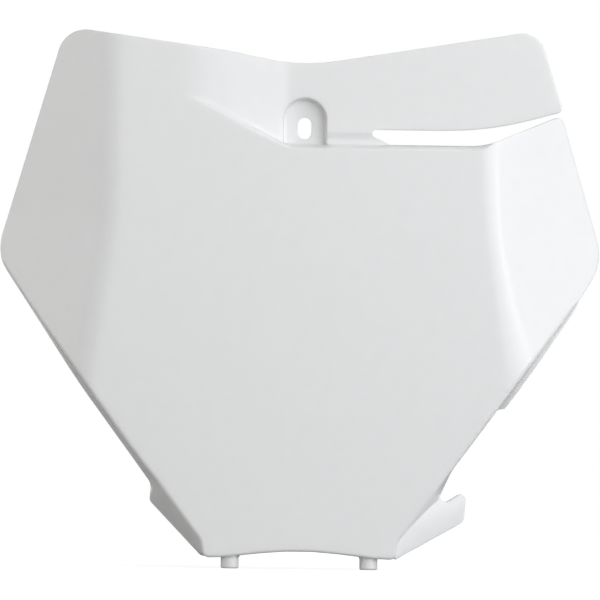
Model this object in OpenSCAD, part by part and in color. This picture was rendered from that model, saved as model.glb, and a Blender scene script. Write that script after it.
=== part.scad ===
// Front number board of an off-road motorcycle, moulded in one piece.
// Millimetres. The board stands upright and faces -Y, with +Z up.
// The origin is the centre of the screw slot, on the seat of the screw's head.
// While it is drawn, depths are counted from the face; the last step moves it to its origin.

/* [Wall] */
// Thickness of the moulded wall
wall = 2.4; // [1.8:0.1:2.8]

/* [Outline seen from the front] */
// Reach of the left wing's corner from the centre line, before rounding
left_reach = 136.9; // [132:0.1:142]
// Reach of the right wing's corner from the centre line, before rounding
right_reach = 133.9; // [130:0.1:140]
// Depth of the wing corners below the screw slot
corner_drop = 58; // [52:0.5:62]
// Radius of the wing corners
corner_r = 23; // [14:0.5:26]
// Distance of the top left corner from the centre line, before rounding
top_left_x = 106.8; // [102:0.1:110]
// Height of the top left corner above the screw slot
top_left_z = 44.1; // [41:0.1:48]
// Radius of the top left corner
top_left_r = 12.5; // [6:0.5:14]
// Height of the dip in the top edge above the screw slot
dip_z = 27.5; // [24:0.1:30]
// Radius of the dip in the top edge
dip_r = 90; // [60:1:110]
// Distance of the strip's top corner from the centre line, before rounding
strip_top_x = 103.5; // [100:0.1:106]
// Height of the strip's top corner above the screw slot
strip_top_z = 44.7; // [42:0.1:48]
// Height of the strip's outer lower corner above the screw slot
strip_end_z = 8.8; // [8:0.1:10]
// Opening of the cable slot at its outer end
slot_mouth = 1.5; // [1.2:0.1:1.8]
// Radius of the strip's top corner
strip_top_r = 10.5; // [5:0.5:12]
// Depth of the foot's corners below the screw slot
foot_drop = 191.3; // [186:0.1:196]
// Half the width of the foot between the two lower corners
foot_half = 42.6; // [40:0.1:46]
// Rise of the arch in the foot's lower edge
arch_rise = 3.4; // [2:0.1:5]

/* [Bends and skirts] */
// Angle by which each wing is swept back
wing_sweep = 27; // [22:0.5:28]
// Distance of the wing bends from the centre line
bend_x = 86; // [83:0.5:89]
// Depth of the skirts' rear edge behind the face
skirt_depth = 28; // [26:0.5:34]
// Depth below the screw slot at which the right skirt ends
skirt_end_drop = 124; // [116:0.5:130]
// Outward flare of the left skirt
left_flare = 8.3; // [4:0.1:10]
// Outward flare of the right skirt
right_flare = 5.9; // [4:0.1:8]
// Size of the rounded fold between the face and a skirt
skirt_fold = 3.4; // [2.9:0.1:4.5]
// Depth of the ledge behind the foot's lower edge
foot_depth = 12; // [11:0.5:16]
// Distance by which the flared cheek stands out beside the foot
cheek_out = 24.6; // [23:0.1:26]
// Height of the cheek's corner above the foot
cheek_rise = 24.6; // [22:0.1:27]

/* [Recessed strip and cable slot] */
// Depth of the recessed strip behind the face
recess = 7; // [5:0.1:9]
// Depth of the gutter below the strip, behind the strip
gutter = 3.5; // [2:0.1:5]
// Height of the step between the face and the gutter, from the screw slot
step_z = -6.9; // [-7.5:0.1:-6.5]
// Start of the facet that leads from the face to the strip
facet_start = -50.7; // [-54:0.1:-47]
// Length of the facet
facet_len = 43; // [36:0.5:44]
// Height of the strip's lower edge along the cable slot
strip_low_z = -0.3; // [-1:0.1:0.5]
// Start of the cable slot from the centre line
slot_start = 30; // [26:0.5:36]

/* [Screw boss] */
// Radius of the pocket around the screw
pocket_r = 10.4; // [9:0.1:12]
// Height of the centre of the pocket's round end
pocket_z = 3.8; // [2:0.1:5]
// Depth of the pocket's floor behind the strip
pocket_depth = 6; // [4:0.1:8]
// Width of the screw slot
screw_w = 6; // [5:0.1:7]
// Height of the screw slot
screw_h = 9.7; // [8:0.1:11]

/* [Locating pins] */
// Diameter of a locating pin
pin_d = 8; // [6:0.1:8.4]
// Distance between the pins
pin_spacing = 61.7; // [54:0.1:66]
// Lowest point of the pins below the screw slot
pin_drop = 196.1; // [195:0.1:200]
// Thickness of the gussets above the pins
gusset_t = 2; // [1.5:0.1:3]

/* [Hose hook] */
// Reach of the hook's tip from the centre line
hook_reach = 73.8; // [70:0.1:78]
// Depth of the hook's plate behind the face, where it leaves the wall
hook_depth = 8; // [6:0.5:10]
// Radius of the hook's throat, which holds the hose
hook_throat_r = 2.4; // [1.8:0.1:3]

/* [Hidden] */
$fn = 72;
board_white = [0.93, 0.94, 0.95];

// Each step of an arc turns by at most this angle
arc_step = 9;
// Height above everything, up to which the skin is drawn before it is trimmed
skin_top = 54;
// Reach of the skin to either side before it is trimmed
skin_reach = 143;

// A straight row of n values from a to b
function span(a, b, n) = [for (i = [0 : n - 1]) a + (b - a) * i / (n - 1)];
function mix(a, b, t) = a + (b - a) * t;
function unit(v) = v / norm(v);
function cross2(a, b) = a[0] * b[1] - a[1] * b[0];

// Arc that rounds the corner b of the path a-b-c with radius r
function corner_arc(a, b, c, r) =
    let (u = unit(a - b), v = unit(c - b),
         half = acos(max(-1, min(1, u * v))) / 2,
         turn = 180 - 2 * half,
         centre = b + unit(u + v) * r / sin(half),
         start = b + u * r / tan(half) - centre,
         side = sign(cross2(b - a, c - b)),
         n = max(2, ceil(turn / arc_step)))
    [for (i = [0 : n])
        let (q = side * turn * i / n)
        centre + [start[0] * cos(q) - start[1] * sin(q),
                  start[0] * sin(q) + start[1] * cos(q)]];

// Closed outline from corners given as [x, z, radius]
function rounded(corners) =
    let (n = len(corners))
    [for (i = [0 : n - 1])
        let (a = corners[(i + n - 1) % n], b = corners[i], c = corners[(i + 1) % n])
        each b[2] == 0 ? [[b[0], b[1]]]
            : corner_arc([a[0], a[1]], [b[0], b[1]], [c[0], c[1]], b[2])];

// Open path from corners given as [x, z, radius]; its two ends stay sharp
function rounded_path(corners) =
    let (n = len(corners))
    [for (i = [0 : n - 1])
        let (b = corners[i])
        each (i == 0 || i == n - 1 || b[2] == 0) ? [[b[0], b[1]]]
            : corner_arc([corners[i - 1][0], corners[i - 1][1]], [b[0], b[1]],
                         [corners[i + 1][0], corners[i + 1][1]], b[2])];

// FACE AND WINGS

// The bends lean outwards below this height
bend_lean_z = -40;
bend_lean = 0.15;
// Half the width of a bend's rounding
bend_soft = 7;
function soft_ramp(u, h) = u <= -h ? 0 : u >= h ? u : pow(u + h, 2) / (4 * h);
function soft_slope(u, h) = u <= -h ? 0 : u >= h ? 1 : (u + h) / (2 * h);
function bend_at(z) = bend_x + max(0, bend_lean_z - z) * bend_lean;
// Depth of the face's front at a point of the front view
function face_y(x, z) = soft_ramp(abs(x) - bend_at(z), bend_soft) * tan(wing_sweep);
// Thickness of the wall there, measured straight back
function wall_y(x, z) =
    wall * sqrt(1 + pow(soft_slope(abs(x) - bend_at(z), bend_soft) * tan(wing_sweep), 2));

// LOWER EDGE

function above_foot(h) = h - foot_drop;

// The fold line runs straight from the foot to past the wing's corner
fold_slope = 0.737;
fold_turn_x = foot_half + 1;
fold_turn_z = above_foot(8);
fold_turn_r = 8;
function fold_x(z) = -fold_turn_x - (z - fold_turn_z) * fold_slope;
function fold_z(x) = fold_turn_z + (-x - fold_turn_x) / fold_slope;
arch_half = foot_half - 8.6;
arch_end_z = above_foot(0.3);
arch_r = 150;
toe_r = wall + 0.2;
// Left half of the corner where the fold line meets the foot
corner_path = rounded_path([
    [fold_x(fold_turn_z + 20), fold_turn_z + 20, 0],
    [-fold_turn_x, fold_turn_z, fold_turn_r],
    [-foot_half, -foot_drop, toe_r],
    [-arch_half, arch_end_z, 0]]);
arch_apex = arch_rise + arch_r * (1 / cos(atan(arch_rise / arch_half)) - 1);
arch_path = rounded_path([
    [-arch_half, arch_end_z, 0],
    [0, above_foot(arch_apex), arch_r],
    [arch_half, arch_end_z, 0]]);
function arch_z(x) = lookup(x, arch_path);

// Stations of the skin: the lower edge and, above each, the top of its column
corner_points = [for (i = [1 : len(corner_path) - 2]) corner_path[i]];
skirt_end_z = -skirt_end_drop;
skirt_end_x = -fold_x(skirt_end_z - 0.6);
wing_x = concat(span(-skin_reach, -112, 6), span(-108, -skirt_end_x, 10));
shin_x = concat([-skirt_end_x + 0.6], span(-80, -66, 3), span(-64, -59, 4), [-54]);
// The facet ends in a crease, which has a station of its own
facet_end = facet_start + facet_len;
arch_x = concat(span(-arch_half, facet_end, 5), [facet_end / 2, 0]);
left_edge = concat(
    [for (x = concat(wing_x, shin_x)) [x, fold_z(x)]],
    corner_points,
    [for (x = arch_x) [x, arch_z(x)]]);
left_top_x = concat(span(-skin_reach, -102, 6), span(-97, -76, 10), span(-74, -55, len(shin_x)),
    span(-53, -37, len(corner_points)), arch_x);
half_n = len(left_edge);
edge = concat(left_edge, [for (i = [half_n - 2 : -1 : 0]) [-left_edge[i][0], left_edge[i][1]]]);
top_x = concat(left_top_x, [for (i = [half_n - 2 : -1 : 0]) -left_top_x[i]]);
col_n = len(edge);

// Outward direction of the lower edge at a station
function out_dir(i) =
    let (a = edge[max(0, i - 1)], b = edge[min(col_n - 1, i + 1)], d = unit(b - a))
    [d[1], -d[0]];

// Rim of the left skirt and cheek in the front view, from the foot upwards
full_flare_w = skirt_depth * tan(left_flare);
cheek_foot = [-foot_half - 1.5, above_foot(0.7)];
cheek_corner = [-foot_half - cheek_out, above_foot(cheek_rise)];
fold_out = unit([-1, -fold_slope]);
fold_up = unit([-fold_slope, 1]);
rim_low = [-fold_turn_x, fold_turn_z] + fold_out * full_flare_w;
cheek_neck = rim_low + fold_up * (cheek_corner[0] + 0.6 - rim_low[0]) / fold_up[0];
rim_high = cheek_neck + fold_up * 30;
cheek_rim = rounded_path([
    [cheek_foot[0], cheek_foot[1], 0],
    [cheek_corner[0], cheek_corner[1], 3.5],
    [cheek_neck[0], cheek_neck[1], 4],
    [rim_high[0], rim_high[1], 0]]);
// Distance from p along n to the rim, or the fallback where the ray misses it
function rim_distance(p, n, fallback) =
    let (hits = [for (k = [0 : len(cheek_rim) - 2])
             let (a = cheek_rim[k], d = cheek_rim[k + 1] - a, den = cross2(n, d),
                  w = cross2(a - p, d) / den, u = cross2(a - p, n) / den)
             if (abs(den) > 0.001 && u >= -0.001 && u <= 1.001 && w > 0) w])
    len(hits) > 0 ? min(hits) : fallback;

// Rear depth, flare width and fold size of the skirt at a station
lip_depth = hook_depth + wall;
hook_band_w = 3.1;
foot_flare_w = 0.3;
function on_foot(p) = abs(p[0]) < foot_half - 0.3 && p[1] < above_foot(arch_apex + 0.5);
function left_w(p, n) =
    p[1] > cheek_neck[1] + 8 ? full_flare_w : rim_distance(p, n, foot_flare_w);
function rear_y(p, n) =
    let (need = face_y(p[0], p[1]) + wall_y(p[0], p[1]) + 1.2,
         rim_z = p[1] + n[1] * left_w(p, n),
         want = on_foot(p) ? foot_depth
             : p[0] < 0 ? lookup(rim_z, [[cheek_foot[1], foot_depth], [cheek_corner[1], skirt_depth]])
             : lookup(p[1], [[-foot_drop, foot_depth], [above_foot(5), lip_depth],
                   [skirt_end_z - 1.4, lip_depth], [skirt_end_z - 0.6, skirt_depth]]))
    max(need, want);
function flare_w(p, n) =
    let (deep = rear_y(p, n) - face_y(p[0], p[1]),
         lip_w = deep * tan(right_flare))
    on_foot(p) ? foot_flare_w
    : p[0] < 0 ? (p[1] > cheek_neck[1] + 8 ? deep * tan(left_flare) : left_w(p, n))
    : lookup(p[1], [[-foot_drop, foot_flare_w], [above_foot(10), 1],
          [above_foot(31.3), hook_band_w * lip_depth / hook_depth],
          [above_foot(38.3), lip_w]]);
foot_fold = 1.2;
function fold_at(p) =
    on_foot(p) ? foot_fold : lookup(p[1], [[-foot_drop, foot_fold], [above_foot(12), skirt_fold]]);

// STEP BETWEEN THE FACE AND THE STRIP

// The step runs down from the facet's start to the screw boss, level past it, and rises
// along the cable slot's outer part
step_slope = 0.442;
step_turn_x = 2.9 - pocket_r;
step_top_z = step_z + step_slope * (step_turn_x - facet_start);
// The strip's outer end leans outwards by this slope
strip_lean = 0.32;
strip_end_x = strip_top_x + (strip_top_z - strip_end_z) * strip_lean;
wing_top_x = strip_end_x - 0.6;
wing_top_z = strip_end_z - slot_mouth;
step_bend_x = bend_x - 5.3;
step_bend_r = 30;
strip_bend_x = bend_x - 4;
strip_bend_r = 145;
step_path = rounded_path([
    [-skin_reach, step_top_z, 0],
    [facet_start, step_top_z, 0],
    [step_turn_x, step_z, 15],
    [step_bend_x, step_z, step_bend_r],
    [wing_top_x, wing_top_z, 0],
    [skin_reach, wing_top_z, 0]]);
function step_at(x) = lookup(x, step_path);
strip_path = rounded_path([
    [-skin_reach, strip_low_z, 0],
    [strip_bend_x, strip_low_z, strip_bend_r],
    [strip_end_x, strip_end_z, 0],
    [skin_reach, strip_end_z, 0]]);
function strip_low(x) = lookup(x, strip_path);

facet_soft = 3;
// Depth of the upper panel behind the face
function panel_y(x) =
    let (k = recess / facet_len)
    k * (soft_ramp(x - facet_start, facet_soft)
         - max(0, x - facet_end));

// Section through the step, as [height above the step, depth]
fold_r = 2.5;
floor_y = recess + gutter;
step_arc = [for (q = [0, 30, 60, 90]) [-fold_r + fold_r * sin(q), fold_r - fold_r * cos(q)]];
plain_step = concat(step_arc,
    [[0.1, recess - 2], [0.7, recess - 0.6], [2.1, recess], [3.6, recess], [5.1, recess], [6.6, recess]]);
gutter_step = concat(step_arc,
    [[0.1, floor_y - 1.1], [0.7, floor_y - 0.2], [2.2, floor_y], [3.1, floor_y - 0.8],
     [5.1, recess + 0.5], [5.9, recess]]);
step_n = len(plain_step);
flat_step = [for (k = [0 : step_n - 1]) [-fold_r + k * 9.1 / (step_n - 1), 0]];

// The same section's back, a wall's thickness behind it
function back_dir(p, q) = let (d = unit(q - p)) [-d[1], d[0]];
function line_back(s) =
    [for (k = [0 : len(s) - 1])
        let (a = back_dir(s[max(0, k - 1)], s[max(1, k)]),
             b = back_dir(s[min(len(s) - 2, k)], s[min(len(s) - 1, k + 1)]),
             m = unit(a + b))
        s[k] + m * wall / (m * a)];
plain_back = line_back(plain_step);
gutter_back = line_back(gutter_step);

// Beyond the wing bend the step ends, and the slot's web is only a filler
function wing_step(x, back) =
    let (y0 = face_y(x, 0) + back * wall_y(x, 0), y1 = recess + back * wall,
         gap = strip_low(x) - step_at(x))
    [for (k = [0 : step_n - 1])
        k < 4 ? [-fold_r + k * (fold_r + 0.6) / 3, y0]
        : [mix(0.6, gap - 0.2, (k - 3) / (step_n - 4)), mix(y0, y1, (k - 3) / (step_n - 4))]];

// The gutter fades in along this length about the centre line
gutter_lead = 12;
// The step fades out along this length, from where the wing's bend begins
wing_lead = 4;
// Section at a distance x from the centre line
function blend_lists(a, b, t) = [for (k = [0 : len(a) - 1]) mix(a[k], b[k], t)];
function flat_here(x, back) = [for (p = flat_step) [p[0], face_y(x, 0) + back * wall_y(x, 0)]];
function section_at(x, back) =
    let (facet = panel_y(x) / recess,
         boss = max(0, min(1, x / gutter_lead + 0.5)),
         wing = max(0, min(1, (x - bend_x + bend_soft) / wing_lead)),
         step = blend_lists(back ? plain_back : plain_step, back ? gutter_back : gutter_step, boss),
         main = blend_lists(flat_here(x, back ? 1 : 0), step, facet))
    wing == 0 ? main : blend_lists(main, wing_step(x, back ? 1 : 0), wing);

// SKIN

fold_n = 4;
face_n = 5;
strip_n = 3;

// A point of a rounded fold between p0, the corner p1 and p2
function fold_point(p0, p1, p2, t) =
    let (w = 0.707, a = pow(1 - t, 2), b = 2 * w * t * (1 - t), c = t * t)
    (a * p0 + b * p1 + c * p2) / (a + b + c);
function at_depth(p, y) = [p[0], y, p[1]];

// Column of the skin's front (back = 0) or back (back = 1) at station i
function skirt_rows(i, back) =
    let (p = edge[i], n = out_dir(i), d = face_y(p[0], p[1]),
         wy = wall_y(p[0], p[1]) * back,
         rear = rear_y(p, n), w = flare_w(p, n), f = fold_at(p),
         deep = rear - d,
         size = back == 0 ? f : max(0.5, f - wall),
         drop = min(size, (deep - wy) * 0.6),
         base = p - n * wall * back,
         inner = base - n * size,
         p0 = at_depth(inner, face_y(inner[0], inner[1]) + wy),
         p1 = at_depth(base, d + wy),
         p2 = at_depth(base + n * w * (wy + drop) / deep, d + wy + drop))
    concat([at_depth(base + n * w, rear)],
           [for (k = [0 : fold_n]) fold_point(p2, p1, p0, k / fold_n)]);

function column_rows(i, back) =
    let (p = edge[i], n = out_dir(i),
         low = p - n * (back == 0 ? fold_at(p) : max(fold_at(p), wall + 0.5)),
         xt = top_x[i],
         x_mid = mix(low[0], xt, -low[1] / (skin_top - low[1])),
         zs = step_at(x_mid),
         sec = section_at(x_mid, back == 1),
         z_face = zs + sec[0][0],
         z_strip = zs + sec[step_n - 1][0],
         y_top = x_mid < facet_start - facet_soft ? -1 : sec[step_n - 1][1],
         face = [for (k = [1 : face_n - 1])
             let (z = mix(low[1], z_face, k / face_n),
                  x = mix(low[0], xt, (z - low[1]) / (skin_top - low[1])))
             [x, face_y(x, z) + back * wall_y(x, z), z]],
         step = [for (q = sec)
             let (z = zs + q[0], x = mix(low[0], xt, (z - low[1]) / (skin_top - low[1])))
             [x, q[1], z]],
         strip = [for (k = [1 : strip_n])
             let (z = mix(z_strip, skin_top, k / strip_n),
                  x = mix(low[0], xt, (z - low[1]) / (skin_top - low[1])))
             [x, y_top < 0 ? face_y(x, z) + back * wall_y(x, z) : y_top, z]])
    concat(face, step, strip);

front = [for (i = [0 : col_n - 1]) concat(skirt_rows(i, 0), column_rows(i, 0))];
rear = [for (i = [0 : col_n - 1]) concat(skirt_rows(i, 1), column_rows(i, 1))];
row_n = len(front[0]);

function at(i, j, back) = (back * col_n + i) * row_n + j;
function quad(a, b, c, d) = [[a, b, c], [a, c, d]];

module skin() {
    points = [for (c = front) each c, for (c = rear) each c];
    faces = [
        for (i = [0 : col_n - 2], j = [0 : row_n - 2])
            each quad(at(i, j, 0), at(i, j + 1, 0), at(i + 1, j + 1, 0), at(i + 1, j, 0)),
        for (i = [0 : col_n - 2], j = [0 : row_n - 2])
            each quad(at(i, j, 1), at(i + 1, j, 1), at(i + 1, j + 1, 1), at(i, j + 1, 1)),
        for (i = [0 : col_n - 2])
            each quad(at(i, 0, 0), at(i + 1, 0, 0), at(i + 1, 0, 1), at(i, 0, 1)),
        for (i = [0 : col_n - 2])
            each quad(at(i, row_n - 1, 0), at(i, row_n - 1, 1), at(i + 1, row_n - 1, 1), at(i + 1, row_n - 1, 0)),
        for (j = [0 : row_n - 2])
            each quad(at(0, j, 0), at(0, j, 1), at(0, j + 1, 1), at(0, j + 1, 0)),
        for (j = [0 : row_n - 2])
            each quad(at(col_n - 1, j, 0), at(col_n - 1, j + 1, 0), at(col_n - 1, j + 1, 1), at(col_n - 1, j, 1))];
    polyhedron(points, faces);
}

// TRIMMED OUTLINE

// Shoulder of the top edge, left of the dip
shoulder = [-33, dip_z + 6.4, 100];
dip_x = -2;
// The slot and the pocket are cut just above the step
step_gap = 0.3;
slot_low_z = step_z + step_gap;
// The slot's inner end slants down by its heel and then runs along to its lower edge
slot_heel = [0.3, 2.7];
slot_run = 8.2;
// The trim passes clear of the skirts, at this slope outside them
clear_slope = 0.62;
clear_x = hook_reach + 1.2;
clear_z = above_foot(-14);
skirt_end_in = [-fold_x(skirt_end_z) + 0.4, skirt_end_z - 0.4, 1];
// Where the edge below the right skirt turns towards the hook's throat
hook_root = [hook_reach - 7.1, above_foot(37.6), 10];
hook_root_low = [hook_reach - 12.6, above_foot(25.9), 0];
outline = rounded([
    [-left_reach, -corner_drop, corner_r],
    [-top_left_x, top_left_z, top_left_r],
    shoulder,
    [dip_x, dip_z, dip_r],
    [strip_top_x, strip_top_z, strip_top_r],
    [strip_end_x, strip_end_z, 2.5],
    [strip_bend_x, strip_low_z, strip_bend_r],
    [slot_start, strip_low_z, 1.5],
    [slot_start + slot_heel[0], strip_low_z - slot_heel[1], 0.9],
    [slot_start + slot_run, slot_low_z, 1],
    [step_bend_x, slot_low_z, step_bend_r],
    [wing_top_x, wing_top_z, 3.2],
    [right_reach, -corner_drop, corner_r],
    [right_reach + (skirt_end_z + 2 + corner_drop) * clear_slope, skirt_end_z + 2, 0],
    skirt_end_in,
    hook_root,
    hook_root_low,
    [clear_x, hook_root_low[1] - 2, 0],
    [clear_x, clear_z, 0],
    [-clear_x, clear_z, 0],
    [-clear_x, -corner_drop - (left_reach - clear_x) / clear_slope, 0]]);

// A shape of the front view drawn from depth y0 back to depth y1
module from_front(y0, y1) {
    translate([0, y1, 0]) rotate([90, 0, 0]) linear_extrude(y1 - y0) children();
}

module trimmed_skin() {
    intersection() {
        skin();
        from_front(-2, skirt_depth + 12) polygon(outline);
    }
}

// SCREW BOSS

pocket_y = recess + pocket_depth;
boss_y = recess + 0.3;

// Arch shape of the pocket, open towards the step
module pocket_shape(r, low) {
    translate([0, pocket_z]) circle(r);
    translate([-r, low]) square([2 * r, pocket_z - low]);
}

// Everything above the step in the front view
module above_step() {
    polygon(concat([for (p = step_path) [p[0], p[1] + step_gap]],
                   [[skin_reach, skin_top], [-skin_reach, skin_top]]));
}

// The gutter runs into the pocket, so the cup's side has the gutter's own section
module gutter_clearance() {
    low = [for (k = [4 : step_n - 1]) [gutter_step[k][1] + wall / 2, step_z + gutter_step[k][0]]];
    translate([pocket_r - 1, 0, 0])
        rotate([90, 0, 90])
            linear_extrude(wall + 2)
                polygon(concat([[recess - 2, step_z - 0.5], [low[0][0], step_z - 0.5]], low,
                               [[recess - 2, low[len(low) - 1][1] + 0.5]]));
}

module boss_block() {
    difference() {
        from_front(boss_y, pocket_y + wall) pocket_shape(pocket_r + wall, step_z - wall);
        gutter_clearance();
    }
}

module screw_slot() {
    from_front(recess, pocket_y + wall + 1) {
        for (s = [-1, 1])
            translate([0, s * (screw_h - screw_w) / 2]) circle(d = screw_w);
        square([screw_w, screw_h - screw_w], center = true);
    }
}

// FOOT

pin_x = pin_spacing / 2;
pin_y = foot_depth / 2 + 0.6;
pin_tip_r = 0.8;
pin_root_z = arch_z(pin_x) + wall / 2;
// A flat seat round each pin's root, just below the foot's edge
seat_z = arch_end_z - 0.2;
seat_rim = 0.9;

module locating_pin() {
    h = pin_root_z + pin_drop;
    seat_h = seat_z + pin_drop;
    seat_r = pin_d / 2 + seat_rim;
    translate([0, pin_y, -pin_drop])
        rotate_extrude()
            polygon(concat([[0, 0]],
                [for (q = [0 : 15 : 90])
                    [pin_d / 2 - pin_tip_r + pin_tip_r * sin(q), pin_tip_r - pin_tip_r * cos(q)]],
                [[pin_d / 2, seat_h], [seat_r, seat_h], [seat_r, h], [0, h]]));
}

// Triangular rib that carries a pin's load into the face
module gusset() {
    low = arch_z(pin_x) + wall / 2;
    translate([-gusset_t / 2, 0, 0])
        rotate([90, 0, 90])
            linear_extrude(gusset_t)
                polygon([[wall / 2, low], [foot_depth - 0.8, low], [foot_depth - 0.8, low + 2.5],
                         [wall / 2, low + foot_depth + 2]]);
}

// HOSE HOOK

// Depths of the plate's front just above the foot and at the foot's corner
hook_low_y = 3;
hook_foot_y = 2.6;
// Three points of the plate's front, as [x, depth, z]
hook_a = [hook_reach - 11.5, hook_depth, above_foot(29.5)];
hook_b = [foot_half + 2.6, hook_low_y, above_foot(9.3)];
hook_c = [foot_half + 0.6, hook_foot_y, -foot_drop];
hook_u = unit(hook_a - hook_b);
hook_w = unit(cross(hook_u, hook_c - hook_b)) * sign(cross(hook_u, hook_c - hook_b)[1]);
hook_v = cross(hook_w, hook_u);
// Point of the plate's plane seen at x, z in the front view
function hook_point(p) =
    let (y = hook_b[1] - ((p[0] - hook_b[0]) * hook_w[0] + (p[1] - hook_b[2]) * hook_w[2]) / hook_w[1],
         d = [p[0], y, p[1]] - hook_b)
    [d * hook_u, d * hook_v];

throat = [hook_reach - 11.2, above_foot(23.9)];
hook_outline = rounded([
    [throat[0] - 1.8, throat[1] + 5.1, 0],
    [throat[0], throat[1] + 5.1, 0],
    [throat[0], throat[1], hook_throat_r],
    [hook_reach + 0.4, above_foot(31.3), 2.3],
    [hook_reach - 0.6, above_foot(17.1), 4],
    [foot_half + 0.6, -foot_drop, 0],
    [foot_half - 0.3, above_foot(0.9), 0],
    [foot_half + 0.2, above_foot(8.4), 0]]);

module hose_hook() {
    multmatrix([[hook_u[0], hook_v[0], hook_w[0], hook_b[0]],
                [hook_u[1], hook_v[1], hook_w[1], hook_b[1]],
                [hook_u[2], hook_v[2], hook_w[2], hook_b[2]],
                [0, 0, 0, 1]])
        linear_extrude(wall)
            polygon([for (p = hook_outline) hook_point(p)]);
}

// THE BOARD

// The moulding before its pins and its screw slot. A resize to [0, 0, 0] keeps every size
// and joins the pieces into one mesh.
module moulding() {
    resize([0, 0, 0]) {
        difference() {
            union() {
                trimmed_skin();
                boss_block();
            }
            from_front(recess - 1, pocket_y)
                intersection() {
                    pocket_shape(pocket_r, step_z);
                    above_step();
                }
        }
        hose_hook();
    }
}

module number_board() {
    color(board_white) translate([0, -pocket_y, 0])
        difference() {
            union() {
                moulding();
                for (s = [-1, 1])
                    translate([s * pin_x, 0, 0]) {
                        locating_pin();
                        gusset();
                    }
            }
            screw_slot();
        }
}

number_board();
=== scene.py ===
# %% [markdown]
# # A moulded number board, from one rim and two sheets
# The board is a thin plastic moulding. Its looks are built here from the same sizes as the
# part's source: a closed band of profiles that runs round every edge, a front sheet and a
# back sheet that fill the band, and small solids for the pins, gussets and the hose hook.

# %% Setup
import math
from collections import Counter

import bpy
import numpy as np
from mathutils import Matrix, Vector
from mathutils.geometry import delaunay_2d_cdt


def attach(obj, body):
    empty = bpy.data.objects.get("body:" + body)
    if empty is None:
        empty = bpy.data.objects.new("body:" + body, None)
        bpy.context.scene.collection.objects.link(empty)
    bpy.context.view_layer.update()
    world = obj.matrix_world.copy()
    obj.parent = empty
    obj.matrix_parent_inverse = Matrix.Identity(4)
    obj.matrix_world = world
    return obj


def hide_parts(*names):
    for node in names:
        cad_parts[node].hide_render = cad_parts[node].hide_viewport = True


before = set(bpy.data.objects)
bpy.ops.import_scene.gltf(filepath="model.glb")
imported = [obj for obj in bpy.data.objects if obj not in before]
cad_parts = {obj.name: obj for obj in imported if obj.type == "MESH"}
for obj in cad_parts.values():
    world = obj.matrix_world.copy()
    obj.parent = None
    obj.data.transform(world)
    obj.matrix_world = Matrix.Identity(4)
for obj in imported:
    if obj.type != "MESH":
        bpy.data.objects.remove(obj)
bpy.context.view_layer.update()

# %% [markdown]
# ## Sizes
# Millimetres, as in the part's source. x runs to the viewer's right, z up, and depth is
# counted back from the face until the mesh is made.

# %% Sizes
WALL = 2.4
# Outline: reaches from the centre line, and corners as (x, z, radius)
LEFT_REACH, RIGHT_REACH = 136.9, 133.9
CORNER_DROP, CORNER_R = 58.0, 23.0
TOP_LEFT = (-106.8, 44.1, 12.5)
DIP = (-2.0, 27.5, 90.0)
SHOULDER = (-33.0, 33.9, 100.0)
STRIP_TOP = (103.5, 44.7, 10.5)
STRIP_END_Z, SLOT_MOUTH = 8.8, 1.5
FOOT_DROP, FOOT_HALF, ARCH_RISE = 191.3, 42.6, 3.4
# Wings: the left bend leans out below a height, the right one curves out and widens
SWEEP = math.tan(math.radians(27))
BEND_X, BEND_LEAN, BEND_LEAN_Z, BEND_EASE = 86.0, 0.15, -40.0, 6.0
RIGHT_BEND_X, RIGHT_CURVE, RIGHT_CURVE_Z = 83.0, 0.0017, -10.0
LEFT_SOFT, RIGHT_SOFT = 6.2, 4.3
SPREAD, SPREAD_Z, SPREAD_LEN = 0.0016, -52.0, 60.0
# Skirts and foot
SKIRT_DEPTH, LEFT_FOLD, RIGHT_FOLD = 28.0, 1.5, 1.6
LEFT_FLARE, RIGHT_FLARE = math.tan(math.radians(8.3)), math.tan(math.radians(5.9))
SKIRT_END_Z = -124.0
FOOT_DEPTH, FOOT_FOLD = 12.0, 1.2
CHEEK_OUT, CHEEK_RISE = 24.6, 24.6
# Recessed strip, gutter, step and cable slot
RECESS, GUTTER = 7.0, 2.2
STEP_Z, STEP_SLOPE = -6.9, 0.442
FACET_START, FACET_LEN = -50.7, 43.0
STRIP_LOW_Z, SLOT_START = -0.3, 30.0
FOLD_FADE = (77.0, 89.0)
# Screw pocket, pins and hook
POCKET_R, POCKET_Z, POCKET_DEPTH = 10.4, 3.8, 6.0
SCREW_W, SCREW_H = 6.0, 9.7
PIN_D, PIN_SPACING, PIN_DROP, GUSSET_T = 8.0, 61.7, 196.1, 2.0
HOOK_REACH, HOOK_DEPTH, THROAT_R, BAND_W = 73.8, 8.0, 2.4, 3.1
# Radius of a trimmed edge
RIM_R = 0.55

FACET_END = FACET_START + FACET_LEN
FLOOR_Y = RECESS + GUTTER
POCKET_Y = RECESS + POCKET_DEPTH
LIP_DEPTH = HOOK_DEPTH + WALL
STRIP_END_X = STRIP_TOP[0] + (STRIP_TOP[1] - STRIP_END_Z) * 0.32
WING_TOP = (STRIP_END_X - 0.6, STRIP_END_Z - SLOT_MOUTH)
STEP_BEND_X, STRIP_BEND_X = BEND_X - 5.3, BEND_X - 4
STEP_TURN_X = 2.9 - POCKET_R
STEP_TOP_Z = STEP_Z + STEP_SLOPE * (STEP_TURN_X - FACET_START)
SLOT_LOW_Z = STEP_Z + 0.05


def above_foot(height):
    return height - FOOT_DROP


def mix(a, b, t):
    return a + (b - a) * t


def smooth(t):
    t = np.clip(t, 0, 1)
    return t * t * (3 - 2 * t)


# %% [markdown]
# ## Paths
# Outlines are corner lists with a radius at each corner. They are rounded into arcs and then
# resampled, so that the band's profiles stand a set distance apart.

# %% Paths
def unit(v):
    v = np.asarray(v, float)
    return v / np.linalg.norm(v)


def cross2(a, b):
    return a[0] * b[1] - a[1] * b[0]


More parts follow.
